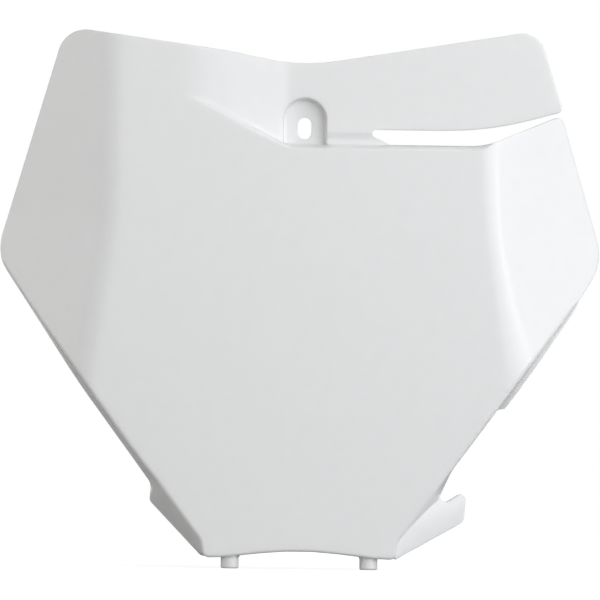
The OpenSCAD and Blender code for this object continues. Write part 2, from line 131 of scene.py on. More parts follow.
def corner_arc(a, b, c, r, step=5.0):
    """The arc that rounds corner b of the path a-b-c."""
    u, v = unit(a - b), unit(c - b)
    half = math.acos(max(-1, min(1, float(u @ v)))) / 2
    turn = math.pi - 2 * half
    centre = b + unit(u + v) * r / math.sin(half)
    start = b + u * r / math.tan(half) - centre
    side = np.sign(cross2(b - a, c - b))
    count = max(3, math.ceil(turn / math.radians(step)))
    q = side * turn * np.arange(count + 1) / count
    return [centre + [start[0] * math.cos(t) - start[1] * math.sin(t),
                      start[0] * math.sin(t) + start[1] * math.cos(t)] for t in q]


def pairs(x, z):
    """Points from coordinates, either of which may be one number for all."""
    return np.stack(np.broadcast_arrays(x, z), axis=1)


def rounded_path(corners, closed=False, step=5.0):
    """The path through corners given as (x, z, radius)."""
    corners, out = np.array(corners, float), []
    at, n = corners[:, :2], len(corners)
    for i, r in enumerate(corners[:, 2]):
        if r == 0 or (not closed and i in (0, n - 1)):
            out.append(at[i])
        else:
            out += corner_arc(at[i - 1], at[i], at[(i + 1) % n], r, step)
    return np.array(out)


def resampled(path, gap, closed=False):
    """The path with its long stretches cut into pieces of at most gap."""
    path, out = [*path, path[0]] if closed else [*path], []
    for a, b in zip(path[:-1], path[1:]):
        n = max(1, math.ceil(np.linalg.norm(b - a) / gap))
        out += [a + (b - a) * k / n for k in range(n)]
    return np.array(out if closed else out + [path[-1]])


def unit_rows(v):
    return v / np.linalg.norm(v, axis=1)[:, None]


def outward(path):
    """Outward normals of a closed path that has the board on its right."""
    d = unit_rows(np.roll(path, -1, axis=0) - path) + unit_rows(path - np.roll(path, 1, axis=0))
    d = unit_rows(d)
    return pairs(-d[:, 1], d[:, 0])


def ray_hit(p, n, path, fallback):
    """Distance from p along n to an open path."""
    hits = []
    for a, b in zip(path[:-1], path[1:]):
        den = cross2(n, b - a)
        if abs(den) < 1e-6:
            continue
        w, u = cross2(a - p, b - a) / den, cross2(a - p, n) / den
        if -0.001 <= u <= 1.001 and w > 0:
            hits.append(w)
    return min(hits, default=fallback)


def inside(points, loop):
    """Which points lie inside a closed loop, by counting crossings."""
    x, z = points[:, 0], points[:, 1]
    hit = np.zeros(len(points), bool)
    a, b = loop, np.roll(loop, -1, axis=0)
    for (ax, az), (bx, bz) in zip(a, b):
        if az == bz:
            continue
        hit ^= ((az > z) != (bz > z)) & (x < (bx - ax) * (z - az) / (bz - az) + ax)
    return hit


# %% [markdown]
# ## Surface heights
# Away from the skirts, the front and the back are height fields over the front view. They
# could be modelled by hand, but rules keep each form in its place when another one changes.
# The first rule is the bend of each wing: a parabola between the face and the swept wing.

# %% Wing bends
def soft_ramp(u, h):
    return np.where(u <= -h, 0, np.where(u >= h, u, (u + h) ** 2 / (4 * h)))


def soft_slope(u, h):
    return np.clip((u + h) / (2 * h), 0, 1)


def bend_at(x, z):
    """Where the bend of either wing is centred at height z."""
    left = BEND_X + soft_ramp(BEND_LEAN_Z - z, BEND_EASE) * BEND_LEAN
    right = RIGHT_BEND_X + RIGHT_CURVE * np.maximum(RIGHT_CURVE_Z - z, 0) ** 2
    return np.where(np.asarray(x) < 0, left, right)


def bend_soft(x, z):
    """Half the width of that bend, which opens out towards the right skirt."""
    right = RIGHT_SOFT + SPREAD * np.clip(SPREAD_Z - z, 0, SPREAD_LEN) ** 2
    return np.where(np.asarray(x) < 0, LEFT_SOFT, right)


def face_y(x, z):
    return soft_ramp(np.abs(x) - bend_at(x, z), bend_soft(x, z)) * SWEEP


def wall_y(x, z):
    """Wall thickness counted straight back, which grows with the slope."""
    slope = soft_slope(np.abs(x) - bend_at(x, z), bend_soft(x, z)) * SWEEP
    return WALL * np.sqrt(1 + slope ** 2)


print("wing depth at the left corner", round(float(face_y(-LEFT_REACH, -CORNER_DROP)), 1))

# %% [markdown]
# ### Facet and step
# The facet leans back slowly at first, so that its shading changes gradually as on the real
# board. The step below it is a swept section: a rounded fold, a steep drafted wall and the
# wall's foot. All sections have the same count of points, so they can be blended along x.

# %% Facet and step lines
# Tilt of the facet in degrees, at distances from the centre line
FACET_TILT = np.array([(-58, 0), (-50, 3.4), (-42, 6.6), (-34, 7.0), (-31, 8.8), (-29, 9.6),
                       (FACET_END - 2.6, 9.6), (FACET_END, 4.8), (FACET_END + 2.6, 0)])
TILT_X = np.linspace(-60, 0, 481)
fall = np.tan(np.radians(np.interp(TILT_X, *FACET_TILT.T)))
TILT_Y = np.concatenate([[0], np.cumsum((fall[1:] + fall[:-1]) / 2 * np.diff(TILT_X))])
TILT_Y *= RECESS / TILT_Y[-1]


def panel_y(x):
    """Depth of the facet and the strip."""
    return np.interp(x, TILT_X, TILT_Y)


STEP_PATH = rounded_path([
    (-200, STEP_TOP_Z, 0), (FACET_START, STEP_TOP_Z, 0), (STEP_TURN_X, STEP_Z, 15),
    (STEP_BEND_X, STEP_Z, 30), (WING_TOP[0], WING_TOP[1], 0), (200, WING_TOP[1], 0)])
STRIP_PATH = rounded_path([
    (-200, STRIP_LOW_Z, 0), (STRIP_BEND_X, STRIP_LOW_Z, 145),
    (STRIP_END_X, STRIP_END_Z, 0), (200, STRIP_END_Z, 0)])


def step_at(x):
    return np.interp(x, *STEP_PATH.T)


def strip_low(x):
    return np.interp(x, *STRIP_PATH.T)


def slot_middle(x):
    """Height half way up the cable slot."""
    return (step_at(x) + strip_low(x)) / 2 + 0.2


print("step line", len(STEP_PATH), "points, strip line", len(STRIP_PATH), "points")

# %% Step sections
# Points are (height above the step line, depth). The fold comes first.
FOLD_DEEP = 0.75
FOLD = [(-2.5, 0), (-2.2, 0.01), (-2.08, 0.035), (-1.99, 0.08), (-1.91, 0.15), (-1.85, 0.24),
        (-1.81, 0.36), (-1.77, 0.52), (-1.73, FOLD_DEEP)]
SECTION_TOP = 7.2
UPPER = (1.9, 2.3, 2.7, 4.5, 4.85, 5.2, 5.6, SECTION_TOP)


def level(depth):
    """The upper part of a section that stays at one depth."""
    return [(h, depth) for h in UPPER]


def step_section(foot):
    """The fold, two points down the drafted wall, and the foot of the wall."""
    end, low = foot[0]
    wall = [(mix(FOLD[-1][0], end, t), mix(FOLD_DEEP, low, t)) for t in (0.33, 0.66)]
    return np.array(FOLD + wall + foot)


PLAIN = step_section([(-0.75, RECESS - 1.0), (-0.62, RECESS - 0.5), (-0.3, RECESS - 0.12),
                      (0.3, RECESS)] + level(RECESS))
GUTTERED = step_section([
    (-0.35, FLOOR_Y - 0.9), (-0.22, FLOOR_Y - 0.45), (0.05, FLOOR_Y - 0.1), (0.6, FLOOR_Y),
    (1.9, FLOOR_Y), (2.3, FLOOR_Y - 0.1), (2.7, FLOOR_Y - 0.35), (4.5, RECESS + 0.5),
    (4.85, RECESS + 0.22), (5.2, RECESS + 0.05), (5.6, RECESS), (SECTION_TOP, RECESS)])
POCKETED = step_section([
    (-0.15, POCKET_Y - 0.8), (-0.02, POCKET_Y - 0.35), (0.3, POCKET_Y - 0.08),
    (0.8, POCKET_Y)] + level(POCKET_Y))
BACK_FOLD = [(-2.9, WALL), (-2.6, WALL + 0.02), (-2.5, WALL + 0.15), (-2.45, WALL + 0.5)]
PLAIN_BACK = np.array(BACK_FOLD + [
    (-2.4, 4.2), (-2.35, 7.0), (-2.2, 7.9), (-1.8, 8.7), (-1.2, 9.2), (-0.4, 9.38), (0.8, 9.4),
    (SECTION_TOP, 9.4)])
GUTTER_BACK = np.array(BACK_FOLD + [
    (-2.4, 5.8), (-2.35, 9.5), (-2.2, 10.4), (-1.8, 11.1), (-1.2, 11.5), (2.6, 11.6),
    (4.2, 11.0), (SECTION_TOP, 9.4)])


def flat_section(like, depth):
    """A section at one depth, with the heights and the count of another."""
    return pairs(np.linspace(like[0, 0], like[-1, 0], len(like)), float(depth))


FLAT, FLAT_BACK = flat_section(PLAIN, 0), flat_section(PLAIN_BACK, WALL)
print("sections with", len(PLAIN), "points in front and", len(PLAIN_BACK), "behind")


def section_y(s, tables, weights):
    """Depth at height s above the step, in sections blended by weights."""
    grid = sum(w[:, None, None] * t[None] for w, t in zip(weights, tables))
    k = (s[:, None] >= grid[:, :, 0]).sum(axis=1)
    k = np.clip(k, 1, grid.shape[1] - 1)
    row = np.arange(len(s))
    s0, s1 = grid[row, k - 1, 0], grid[row, k, 0]
    y0, y1 = grid[row, k - 1, 1], grid[row, k, 1]
    t = np.clip((s - s0) / np.maximum(s1 - s0, 1e-9), 0, 1)
    return y0 + (y1 - y0) * t


def step_weights(x):
    """Shares of the flat, plain and guttered section at x."""
    facet = np.clip(panel_y(x) / RECESS, 0, 1)
    facet = facet * (1 - smooth((x - FOLD_FADE[0]) / (FOLD_FADE[1] - FOLD_FADE[0])))
    boss = np.clip(x / 12 + 0.5, 0, 1)
    return 1 - facet, facet * (1 - boss), facet * boss


# %% [markdown]
# ### Pocket and boss
# The screw pocket sinks into the strip, and behind it the same form stands out as a boss.
# Both follow one rule: a share of the depth, by distance from an arched outline, that is
# rounded at the rim and at the foot and steep between them.

# %% Pocket and boss
def wall_share(o, outer, inner, outer_r, inner_r):
    """Share of the pocket's depth at distance o: 0 outside outer, 1 inside inner."""
    a = np.clip((outer + outer_r - o) / outer_r, 0, 1)
    first = outer_r * (1 - np.sqrt(1 - a ** 2)) / POCKET_DEPTH
    b = np.clip((o - inner + inner_r) / inner_r, 0, 1)
    last = 1 - inner_r * (1 - np.sqrt(1 - b ** 2)) / POCKET_DEPTH
    t = np.clip((outer - o) / (outer - inner), 0, 1)
    steep = mix(outer_r / POCKET_DEPTH, 1 - inner_r / POCKET_DEPTH, t)
    return np.where(o > outer, first, np.where(o < inner, last, steep))


def pocket_out(x, z):
    """Distance outside the pocket's arched outline."""
    return np.where(z > POCKET_Z, np.hypot(x, z - POCKET_Z), np.abs(x)) - POCKET_R


def upper_side(x, z):
    """True on the strip's side of the cable slot."""
    return z > np.where(x > SLOT_START + 2, slot_middle(x), 1e9)


def arrays(x, z):
    return np.atleast_1d(np.asarray(x, float)), np.atleast_1d(np.asarray(z, float))


def plain_surface(x, z, tables, lower, wall):
    """Depth without the pocket, where lower is the depth below the step."""
    s = z - step_at(x)
    y = np.where(s > SECTION_TOP, np.maximum(panel_y(x) + wall, lower * (x < 0)),
                 section_y(s, tables, step_weights(x)) + lower - wall)
    return np.where(upper_side(x, z), RECESS + wall, y)


def front_y(x, z):
    x, z = arrays(x, z)
    y = plain_surface(x, z, (FLAT, PLAIN, GUTTERED), face_y(x, z), 0)
    inner = section_y(z - step_at(x), (POCKETED,), (np.ones(len(x)),))
    share = wall_share(pocket_out(x, z), -0.7, -1.25, 0.8, 0.9)
    return np.where(share > 0, y + (np.maximum(inner, y) - y) * share, y)


def back_y(x, z):
    x, z = arrays(x, z)
    lower = face_y(x, z) + wall_y(x, z)
    y = plain_surface(x, z, (FLAT_BACK, PLAIN_BACK, GUTTER_BACK), lower, WALL)
    boss_out = np.maximum(pocket_out(x, z) - WALL, STEP_Z - WALL - z)
    return y + (POCKET_Y + WALL - y) * wall_share(boss_out, 0.1, -0.1, 0.7, 0.8)


print("wall at the screw slot", round(float(back_y(4, 0)[0] - front_y(4, 0)[0]), 2))

# %% [markdown]
# ## Stations of the rim
# One closed walk round the board: up the left wing, along the top, round the strip, into and
# out of the cable slot, down the right wing, and back along the fold above the skirts.

# %% Stations
FOLD_SLOPE = 0.737
FOLD_X, FOLD_Z = FOOT_HALF + 1, above_foot(8)
FOLD_UP = unit([-FOLD_SLOPE, 1])
FOLD_OUT = unit([-1, -FOLD_SLOPE])
ARCH_HALF, ARCH_R = FOOT_HALF - 8.6, 150.0
ARCH_END_Z = above_foot(0.3)
ARCH_APEX = ARCH_RISE + ARCH_R * (1 / math.cos(math.atan(ARCH_RISE / ARCH_HALF)) - 1)


def beyond_fold(p, side):
    """Distance of p outside the fold line of one side (-1 left, 1 right)."""
    q = np.array([side * -p[0], p[1]]) - [-FOLD_X, FOLD_Z]
    return float(q @ FOLD_OUT)


CLEAR_SLOPE, CLEAR_X = 0.62, HOOK_REACH + 1.2
upper_corners = [
    (-CLEAR_X, -CORNER_DROP - (LEFT_REACH - CLEAR_X) / CLEAR_SLOPE, 0),
    (-LEFT_REACH, -CORNER_DROP, CORNER_R), TOP_LEFT, SHOULDER, DIP, STRIP_TOP,
    (STRIP_END_X, STRIP_END_Z, 2.5), (STRIP_BEND_X, STRIP_LOW_Z, 145),
    (SLOT_START, STRIP_LOW_Z, 1.5), (SLOT_START + 0.3, STRIP_LOW_Z - 2.7, 0.9),
    (SLOT_START + 8.2, SLOT_LOW_Z, 1.0), (STEP_BEND_X, SLOT_LOW_Z, 30),
    (WING_TOP[0], WING_TOP[1], 3.2), (RIGHT_REACH, -CORNER_DROP, CORNER_R),
    (RIGHT_REACH + (SKIRT_END_Z + 2 + CORNER_DROP) * CLEAR_SLOPE, SKIRT_END_Z + 2, 0)]
upper = resampled(rounded_path(upper_corners), 1.6)


def trim_to_fold(path):
    """Cuts the walk where it crosses the fold line at its two ends."""
    keep = list(path)
    for side, i, j in ((-1, 0, 1), (1, -1, -2)):
        while beyond_fold(keep[j], side) > -0.05:
            keep.pop(i)
        a, b = beyond_fold(keep[i], side), beyond_fold(keep[j], side)
        keep[i] = mix(keep[i], keep[j], a / (a - b))
    return np.array(keep)


upper = trim_to_fold(upper)
print("upper walk", len(upper))

# The lower walk, written for the left side and mirrored
half_corner = rounded_path([
    (-FOLD_X - 20 * FOLD_SLOPE, FOLD_Z + 20, 0), (-FOLD_X, FOLD_Z, 8),
    (-FOOT_HALF, -FOOT_DROP, WALL + 0.2), (-ARCH_HALF, ARCH_END_Z, 0)], step=6)[1:-1]
ARCH_PATH = rounded_path([(-ARCH_HALF, ARCH_END_Z, 0), (0, above_foot(ARCH_APEX), ARCH_R),
                          (ARCH_HALF, ARCH_END_Z, 0)])
arch = resampled(ARCH_PATH, 2.0)
FINE, MEDIUM, COARSE = 0.35, 0.8, 1.6


def fold_run(start, marks):
    """Points down a fold line, close together near the marked heights."""
    top_z, low_z = start[1], half_corner[0][1]
    zs, z = [], top_z
    while z > low_z + 0.8:
        zs.append(z)
        near = min([abs(z - m) for m in marks] + [9])
        z -= FINE if near < 3.2 else MEDIUM if near < 6 else COARSE
    x = np.interp(zs, [low_z, top_z], [abs(half_corner[0][0]), abs(start[0])])
    return [np.array([v * np.sign(start[0]), w]) for v, w in zip(x, zs)]


NECK_Z, LIP_Z = -158.4, -154.5
right_run = fold_run(upper[-1], [SKIRT_END_Z, LIP_Z])
left_run = fold_run(upper[0], [NECK_Z])
MIRROR = np.array([-1, 1])
lower = np.concatenate([right_run[1:], half_corner * MIRROR, arch * MIRROR, half_corner[::-1],
                        left_run[1:][::-1]])
print("lower walk", len(lower))

# %% [markdown]
# ## Skirts, cheek and lip
# Below the wings the rim turns back as a skirt. Its depth, flare and fold at each station
# come from the front view: the left cheek follows a drawn rim, the right skirt ends and
# leaves a shallow lip that runs to the hose hook.

# %% Skirt rules
full_w = SKIRT_DEPTH * LEFT_FLARE
cheek_foot = np.array([-FOOT_HALF - 1.5, above_foot(0.7)])
cheek_corner = np.array([-FOOT_HALF - CHEEK_OUT, above_foot(CHEEK_RISE)])
rim_low = np.array([-FOLD_X, FOLD_Z]) + FOLD_OUT * full_w
cheek_neck = rim_low + FOLD_UP * (cheek_corner[0] + 0.6 - rim_low[0]) / FOLD_UP[0]
rim_high = cheek_neck + FOLD_UP * 30
cheek_rim = rounded_path([(-FOOT_HALF + 4.1, above_foot(-0.17), 0), (*cheek_foot, 2.5),
                          (*cheek_corner, 3.5), (*cheek_neck, 6), (*rim_high, 0)])
# The bare edge below the right skirt bends gently towards the hook's throat
lip_trim = rounded_path([(FOLD_X + (SKIRT_END_Z - FOLD_Z) * FOLD_SLOPE + 0.6, SKIRT_END_Z, 0),
                         (HOOK_REACH - 6.3, above_foot(39.7), 32),
                         (HOOK_REACH - 11.6, above_foot(28.0), 0)])


SKIRT_CORNER_R, LIP_CORNER_R = 3.0, 2.0
SIDEWAYS = np.array([1.0, 0.05])
LIP_WIDTH = np.array([(above_foot(0), 0.3), (above_foot(10), 1.0),
                      (above_foot(27), BAND_W * LIP_DEPTH / HOOK_DEPTH), (above_foot(33), 6.0)])


def round_gap(r, t):
    """How far a corner of radius r has drawn back, at t from the start of its arc."""
    return r - math.sqrt(max(0, r ** 2 - t ** 2))


def left_rule(p, n):
    """The flared skirt above the neck, and the drawn cheek below it."""
    z = p[1]
    if z > cheek_neck[1] + 9:
        rear, w = SKIRT_DEPTH, (SKIRT_DEPTH - float(face_y(*p))) * LEFT_FLARE
    else:
        w = ray_hit(p, n, cheek_rim, 0.3)
        rear = np.interp(z + n[1] * w, [cheek_foot[1], cheek_corner[1]],
                         [FOOT_DEPTH, SKIRT_DEPTH])
    return n, mix(rear, FOOT_DEPTH, smooth((above_foot(2.5) - z) / 2.5)), w


def right_rule(p, n):
    """The flared skirt down to its rounded corner, and the shallow lip below it."""
    z, drop = p[1], SKIRT_END_Z - p[1]
    if drop < 0:
        d, rear = float(face_y(*p)), SKIRT_DEPTH
        if drop > -SKIRT_CORNER_R:
            rear -= round_gap(SKIRT_CORNER_R, SKIRT_CORNER_R + drop)
        m = unit(mix(n, SIDEWAYS, smooth((drop + 9) / 8)))
        w = (SKIRT_DEPTH - d) * RIGHT_FLARE
        return m, rear, w * (rear - d) / (SKIRT_DEPTH - d) / float(m @ n)
    rear = LIP_DEPTH
    if drop < LIP_CORNER_R:
        rear += round_gap(LIP_CORNER_R, LIP_CORNER_R - drop)
    m = unit(mix(n, SIDEWAYS, 1 - smooth(drop / 6)))
    w = min(np.interp(z, *LIP_WIDTH.T), ray_hit(p, n, lip_trim, 9.0))
    return m, mix(rear, FOOT_DEPTH, smooth((above_foot(5) - z) / 5)), w


def skirt_rule(p, n):
    """Direction, rear depth, flare width and fold size of the profile at p."""
    x, z = p
    if abs(x) < ARCH_HALF + 5 and z < above_foot(6):
        return n, FOOT_DEPTH, 0.3, FOOT_FOLD
    m, rear, w = left_rule(p, n) if x < 0 else right_rule(p, n)
    side_fold = LEFT_FOLD if x < 0 else RIGHT_FOLD
    return m, rear, w, mix(side_fold, FOOT_FOLD, smooth((above_foot(34) - z) / 25))


print("neck of the cheek at", np.round(cheek_neck, 1))

# %% [markdown]
# ### Profiles
# A profile runs from the front sheet round the fold, down the flare, round the rim and back
# up to the back sheet. Every profile has the same number of rows, so neighbours can be
# joined by quads.

# %% Skirt profile
FRONT_N, FLARE_N, BACK_N = 6, 3, 5


def conic(p0, p1, p2, n):
    """Rounded corner from p0 to p2 with its control point at p1, without p0."""
    t = np.arange(1, n + 1)[:, None] / n
    a, b, c = (1 - t) ** 2, 2 * 0.707 * t * (1 - t), t * t
    return list((a * p0 + b * p1 + c * p2) / (a + b + c))


# How far the left fold stands outside the fold line, at heights above the foot
FOLD_PUSH = np.array([(4, 0.0), (10, 0.4), (18, 0.6), (26, 0.75), (35, 0.9), (41, 1.4),
                      (52, 1.7), (72, 1.6), (82, 1.3)])


def skirt_profile(p, n):
    """Rows of one skirt profile, as (x, depth, z)."""
    m, rear, w, fold = skirt_rule(p, n)
    push = 0.0
    if p[0] < -ARCH_HALF:
        height = p[1] + FOOT_DROP
        push = min(float(np.interp(height, *FOLD_PUSH.T)), 0.7 * w)
    sc = 1 / float(m @ n)
    d, wy = float(face_y(*p)), float(wall_y(*p))
    deep = max(rear - d, wy + 0.8)
    rear = d + deep
    r = min(RIM_R, WALL * 0.45)

    def point(lateral, y):
        q = p + m * sc * lateral
        return np.array([q[0], y, q[1]])

    def flare(y):
        return (push + (w - push) * (y - d) / deep) / sc

    drop = min(fold, (deep - r) * 0.7)
    q = p + m * (push - sc * fold)
    p0 = np.array([q[0], float(front_y(*q)[0]), q[1]])
    corner = p + m * push
    rows = [p0] + conic(p0, point(push / sc, float(face_y(*corner))),
                        point(flare(d + drop), d + drop), FRONT_N)
    ys = np.linspace(d + drop, rear - r, FLARE_N + 1)[1:]
    rows += [point(flare(y), y) for y in ys]
    arc = [(r * (1 - math.cos(a)), rear - r + r * math.sin(a))
           for a in np.radians((0, 30, 60, 90))]
    rows += [point(flare(rear) - dip, y) for dip, y in arc[1:]]
    rows += [point(flare(rear) - WALL + dip, y) for dip, y in arc[::-1]]
    small = max(mix(0.8, 0.1, smooth((above_foot(9) - p[1]) / 6)), fold - WALL)
    low = min(d + wy + small, rear - r - 0.05)
    back_corner = p + m * (push - sc * WALL)
    ys = np.linspace(rear - r, low, FLARE_N + 1)[1:]
    rows += [point(flare(y) - WALL, y) for y in ys]
    q = p + m * (push - sc * (WALL + small))
    end = np.array([q[0], float(back_y(*q)[0]), q[1]])
    turn = float(face_y(*back_corner)) + float(wall_y(*back_corner))
    rows += conic(rows[-1], point(flare(d + wy) - WALL, turn), end, BACK_N)
    return np.array(rows)


ROWS = 1 + FRONT_N + FLARE_N + 3 + 4 + FLARE_N + BACK_N


# %% Rim profile
ARC_ROWS, INSIDE_GAP, STEEPEST = 7, 0.3, 0.6


def edge_slope(surface, p, n, r):
    """Depth of a surface just inside an edge, and its slope there."""
    y, y_in = (float(surface(*(p - n * back))[0]) for back in (r, r + INSIDE_GAP))
    return y, float(np.clip((y - y_in) / INSIDE_GAP, -STEEPEST, STEEPEST))


def rim_profile(p, n, r):
    """Rows of a trimmed edge: a rounded front arris, the edge, a rounded back one."""
    (yf, slope_f), (yb, slope_b) = edge_slope(front_y, p, n, r), edge_slope(back_y, p, n, r)
    rows, tail = [], []
    for q in np.radians(np.linspace(0, 90, ARC_ROWS)):
        lat = -r + r * math.sin(q)
        rows.append((lat, yf + slope_f * (lat + r) + r * (1 - math.cos(q))))
        lat = -r + r * math.cos(q)
        tail.append((lat, yb + slope_b * (lat + r) - r * (1 - math.sin(q))))
    y0, y1, straight = rows[-1][1], tail[0][1], ROWS - 2 * ARC_ROWS
    rows += [(0.0, mix(y0, y1, k / (straight + 1))) for k in range(1, straight + 1)] + tail
    return np.array([(p[0] + n[0] * lat, y, p[1] + n[1] * lat) for lat, y in rows])


def rim_radius(p):
    """Radius of the trimmed edge at p: smaller along both sides of the cable slot."""
    x, z = p
    if x > SLOT_START + 2 and step_at(x) - 1 < z < slot_middle(x):
        return float(np.interp(x, [79, 87], [0.15, RIM_R]))
    if SLOT_START - 1 < x < STRIP_END_X + 1 and abs(z - strip_low(x)) < 3.6 and z < 12:
        return float(np.interp(x, [33, 38], [0.3, 0.6]))
    return RIM_R


# %% [markdown]
# The two kinds of profile have the same number of rows, so near the wing corners the plain
# edge is blended into the skirt row by row and the band stays closed.

# %% Band
walk = np.concatenate([upper, lower])
normals = outward(walk)
gaps = np.linalg.norm(np.roll(walk, -1, axis=0) - walk, axis=1)
run = np.concatenate([np.zeros(len(upper)), np.cumsum(gaps[len(upper) - 1:-1])])
total = run[-1] + gaps[-1]
GROW = 8.0


def band_profile(k):
    """The rows at station k, eased from the plain edge into the skirt over GROW."""
    p, n = walk[k], normals[k]
    if k < len(upper):
        return rim_profile(p, n, rim_radius(p))
    t = min(run[k], total - run[k]) / GROW
    full = skirt_profile(p, n)
    if t < 1:
        full = mix(rim_profile(p, n, RIM_R), full, math.sqrt(max(0, 1 - (1 - t) ** 2)))
    return full


band = np.array([band_profile(k) for k in range(len(walk))])
print("band", band.shape)

# %% [markdown]
# ## Sheets
# Each sheet fills a loop of the band. A grid of quads would blur the slanted creases, so a
# constrained triangulation is used: rows of points follow the creases, which keeps the folds
# crisp, and a hexagonal grid fills the rest.

# %% Sheet helpers
def hex_grid(low, high, gap):
    xs = np.arange(low[0], high[0], gap)
    zs = np.arange(low[1], high[1], gap * 0.866)
    return np.array([(x + j % 2 * gap / 2, z) for j, z in enumerate(zs) for x in xs])


def near_path(points, path, gap, closed):
    """Which points lie within gap of a path."""
    hit = np.zeros(len(points), bool)
    ends = np.roll(path, -1, axis=0) if closed else path[1:]
    for p, q in zip(path, ends):
        lo, hi = np.minimum(p, q) - gap, np.maximum(p, q) + gap
        box = np.where(((points >= lo) & (points <= hi)).all(axis=1) & ~hit)[0]
        if not len(box):
            continue
        d = q - p
        t = np.clip(((points[box] - p) @ d) / max(d @ d, 1e-12), 0, 1)
        hit[box] = np.linalg.norm(points[box] - (p + t[:, None] * d), axis=1) < gap
    return hit


def in_sheet(points, loops):
    """Which points lie inside the first loop and outside the others."""
    ok = inside(points, loops[0])
    for loop in loops[1:]:
        ok &= ~inside(points, loop)
    return ok


def clipped(path, loops, gap):
    """The stretches of a path that stay in the sheet and clear of its loops."""
    ok = in_sheet(path, loops)
    for loop in loops:
        ok &= ~near_path(path, loop, gap, True)
    cuts = np.where(np.diff(ok.astype(int)) != 0)[0] + 1
    return [r for r, good in zip(np.split(path, cuts), np.split(ok, cuts))
            if good[0] and len(r) > 1]


def sheet_points(loops, lines, gap):
    """Points and edges to keep: the loops, then the creases, then a grid clear of both."""
    pts, edges, fine = [], [], []
    for loop in loops:
        base = len(pts)
        pts += [tuple(p) for p in loop]
        edges += [(base + i, base + (i + 1) % len(loop)) for i in range(len(loop))]
    for line, clear in lines:
        for piece in clipped(line, loops, clear):
            base = len(pts)
            pts += [tuple(p) for p in piece]
            edges += [(base + i, base + i + 1) for i in range(len(piece) - 1)]
            fine.append(piece)
    grid = hex_grid(loops[0].min(axis=0), loops[0].max(axis=0), gap)
    keep = in_sheet(grid, loops)
    for loop in loops:
        keep &= ~near_path(grid, loop, gap * 0.45, True)
    for piece in fine:
        keep &= ~near_path(grid, piece, gap * 0.4, False)
    return pts + [tuple(p) for p in grid[keep]], edges


def sheet(rims, lines, height, gap):
    """Vertices and triangles of one sheet. Rim points come first, in order."""
    loops = [rim[:, [0, 2]] for rim in rims]
    pts, edges = sheet_points(loops, lines, gap)
    out = delaunay_2d_cdt([Vector(p) for p in pts], edges, [], 0, 1e-5)
    co, origin = np.array(out[0]), out[3]
    # input points keep their own numbers, new crossings follow them
    number = np.array([min(src) if src else -1 for src in origin])
    extra = np.where(number < 0)[0]
    number[extra] = len(pts) + np.arange(len(extra))
    xz = np.concatenate([pts, co[extra]])
    y = height(xz[:, 0], xz[:, 1])
    rim_y = np.concatenate(rims)[:, 1]
    y[:len(rim_y)] = rim_y
    tris = number[np.array([f for f in out[2] if len(f) == 3])]
    good = in_sheet(xz[tris].mean(axis=1), loops)
    area = np.array([cross2(b - a, c - a) for a, b, c in xz[tris]])
    tris = np.where((area < 0)[:, None], tris[:, ::-1], tris)
    print("sheet", len(xz), "points", good.sum(), "triangles", len(extra), "crossings")
    return np.stack([xz[:, 0], y, xz[:, 1]], axis=1), tris[good & (np.abs(area) > 1e-9)]


# %% [markdown]
# The crease rows: the folds of both wing bends, the facet's two borders, the step's section
# and the rings of the pocket or, behind, of the screw boss.

# %% Crease rows
def bend_rows():
    zs = np.arange(-176.0, 60.0, 3.0)
    return [(pairs(side * (bend_at(side, zs) + bend_soft(side, zs) * share), zs), 1.0)
            for side in (-1, 1) for share in (-1, -0.67, -0.33, 0, 0.33, 0.67, 1)]


def facet_rows():
    xs = (*FACET_TILT[:, 0], -54, -46, -38, FACET_END - 1.3, FACET_END + 1.3)
    return [(pairs(x, np.arange(float(step_at(x)) + 8, 60, 2.5)), 0.8) for x in xs]


def section_rows(table, x0, x1, gap=1.3):
    xs = np.arange(x0, x1, gap)
    return [(pairs(xs, step_at(xs) + s), 0.1) for s in table[:, 0]]


def arch_ring(r, low):
    """Ring at radius r round the pocket, from its foot up and down again."""
    q = np.radians(np.linspace(180, 0, max(24, int(r * 5))))
    side = np.arange(low, POCKET_Z - 0.5, 0.9)
    top = pairs(r * np.cos(q), POCKET_Z + r * np.sin(q))
    return np.concatenate([pairs(-r, side), top, pairs(r, side[::-1])])


# %% Screw slot
def slot_loop(r, half):
    """Stadium walked with its hole on the left."""
    up = np.radians(np.linspace(0, 180, 19))
    top = pairs(r * np.cos(up), half + r * np.sin(up))
    return np.concatenate([top, -top])


hole = resampled(slot_loop(SCREW_W / 2, (SCREW_H - SCREW_W) / 2), 0.9, closed=True)
hole_band = np.array([rim_profile(p, n, 0.35) for p, n in zip(hole, outward(hole))])
print("screw slot", hole_band.shape)

# %% [markdown]
# ## The moulding
# The front sheet, the back sheet and the two bands become one closed mesh.

# %% Assemble
SECTION_ENDS = (FACET_START - 4, 86)
POCKET_RINGS = (0.1, -0.1, -0.3, -0.5, -0.62, -0.7, -0.98, -1.25, -1.37, -1.55, -1.8, -2.15,
                -2.9)
BOSS_RINGS = (0.8, 0.5, 0.25, 0.1, -0.1, -0.25, -0.5, -0.9)
boss_x = np.arange(-13.4, 13.5, 1.2)
shared = bend_rows() + facet_rows()
front_lines = shared + section_rows(GUTTERED, *SECTION_ENDS)
front_lines += [(arch_ring(POCKET_R + o, STEP_Z + 0.6), 0.1) for o in POCKET_RINGS]
back_lines = shared + section_rows(GUTTER_BACK, *SECTION_ENDS)
back_lines += [(arch_ring(POCKET_R + WALL + o, STEP_Z - WALL + 0.2), 0.1) for o in BOSS_RINGS]
back_lines += [(pairs(boss_x, STEP_Z - WALL - o), 0.1) for o in BOSS_RINGS]

front_xyz, front_tri = sheet([band[:, 0], hole_band[:, 0]], front_lines, front_y, 2.4)
back_xyz, back_tri = sheet([band[:, -1], hole_band[:, -1]], back_lines, back_y, 2.8)


